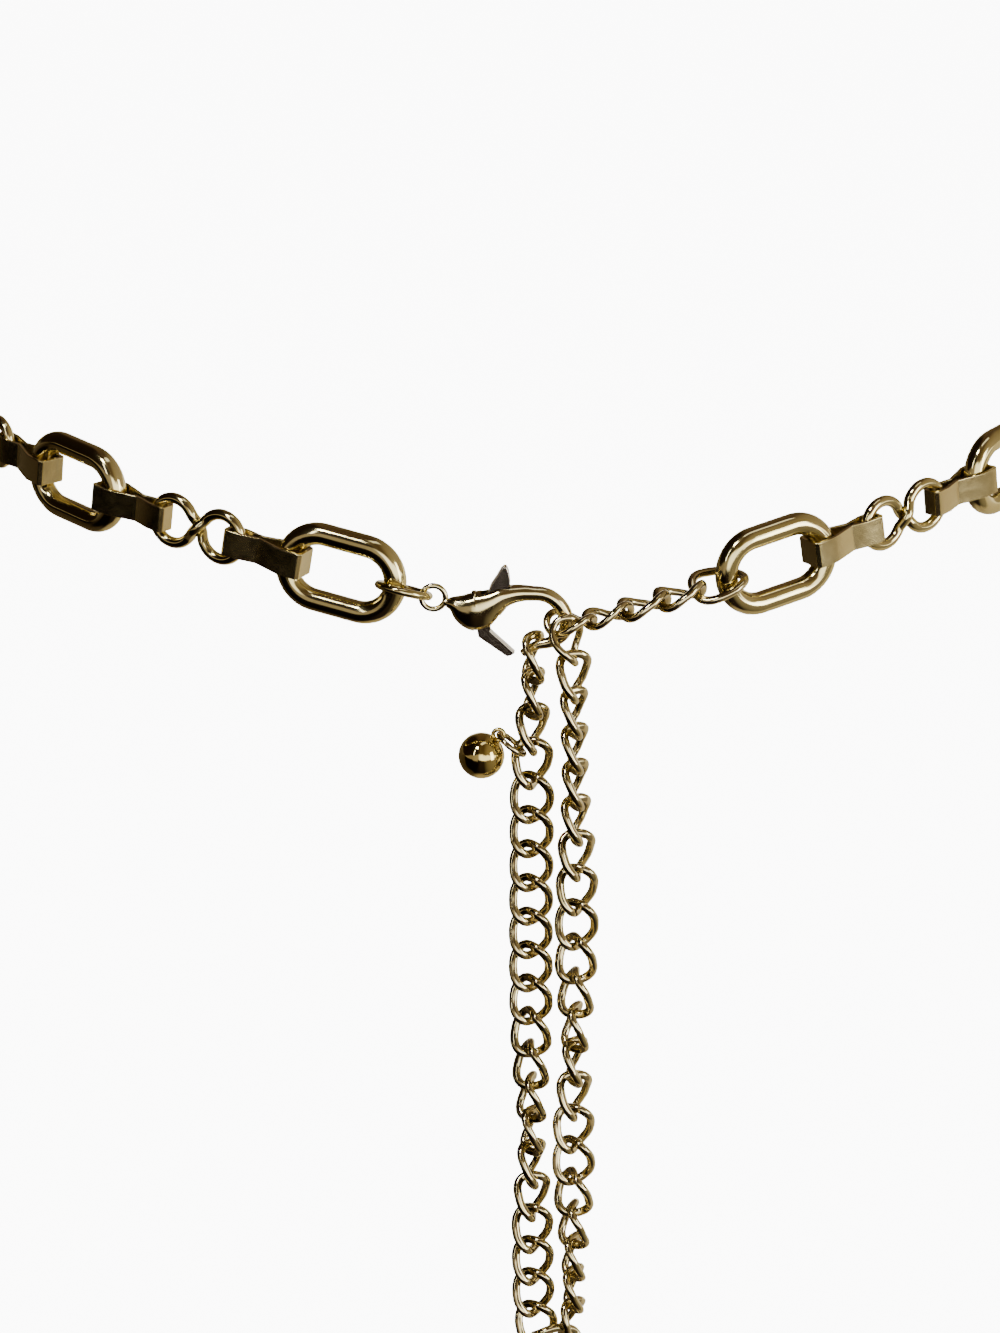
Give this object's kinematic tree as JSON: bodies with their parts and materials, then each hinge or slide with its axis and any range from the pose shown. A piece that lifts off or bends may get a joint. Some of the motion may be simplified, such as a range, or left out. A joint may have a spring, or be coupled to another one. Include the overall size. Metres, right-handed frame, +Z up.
{
  "type": "waist chain",
  "caption": "Waist chain of heavy oval and figure-eight wire links joined by folded bands, with a hook clasp and a long hanging curb chain.",
  "frame": {"origin": "middle of the worn loop: centre of its plan, half way between its lowest and highest point at the front and back", "axes": "+X to the viewer's right, +Y from the clasp at the front to the small of the back, +Z up"},
  "size_m": [0.2113, 0.3055, 0.1813],
  "materials": {
    "gold_metal": "polished",
    "clasp_metal": "polished"
  },
  "bodies": {
    "chain": {"oval_link_01": "gold_metal", "oval_link_02": "gold_metal", "oval_link_03": "gold_metal", "oval_link_04": "gold_metal", "oval_link_05": "gold_metal", "oval_link_06": "gold_metal", "oval_link_07": "gold_metal", "oval_link_08": "gold_metal", "oval_link_09": "gold_metal", "oval_link_10": "gold_metal", "oval_link_11": "gold_metal", "oval_link_12": "gold_metal", "oval_link_13": "gold_metal", "oval_link_14": "gold_metal", "oval_link_15": "gold_metal", "oval_link_16": "gold_metal", "oval_link_17": "gold_metal", "oval_link_18": "gold_metal", "oval_link_19": "gold_metal", "oval_link_20": "gold_metal", "oval_link_21": "gold_metal", "eight_link_01": "gold_metal", "eight_link_02": "gold_metal", "eight_link_03": "gold_metal", "eight_link_04": "gold_metal", "eight_link_05": "gold_metal", "eight_link_06": "gold_metal", "eight_link_07": "gold_metal", "eight_link_08": "gold_metal", "eight_link_09": "gold_metal", "eight_link_10": "gold_metal", "eight_link_11": "gold_metal", "eight_link_12": "gold_metal", "eight_link_13": "gold_metal", "eight_link_14": "gold_metal", "eight_link_15": "gold_metal", "eight_link_16": "gold_metal", "eight_link_17": "gold_metal", "eight_link_18": "gold_metal", "eight_link_19": "gold_metal", "eight_link_20": "gold_metal", "bands_right": "gold_metal", "bands_left": "gold_metal", "jump_ring": "gold_metal", "clasp_body": "gold_metal", "clasp_pin": "clasp_metal", "extension_right": "gold_metal", "extension_left": "gold_metal", "ball_ring": "gold_metal", "end_ball": "gold_metal"},
    "lever": {"clasp_lever": "clasp_metal"}
  },
  "joints": [
    {"name": "lever_hinge", "type": "hinge", "parent": "chain", "child": "lever", "pos_m": [-0.00282, -0.14939, -0.03712], "axis": [-0.0174, -0.9998, 0], "range_deg": [0, 15], "stiffness_Nm_per_rad": 0.01, "springref_deg": -17.19}
  ]
}
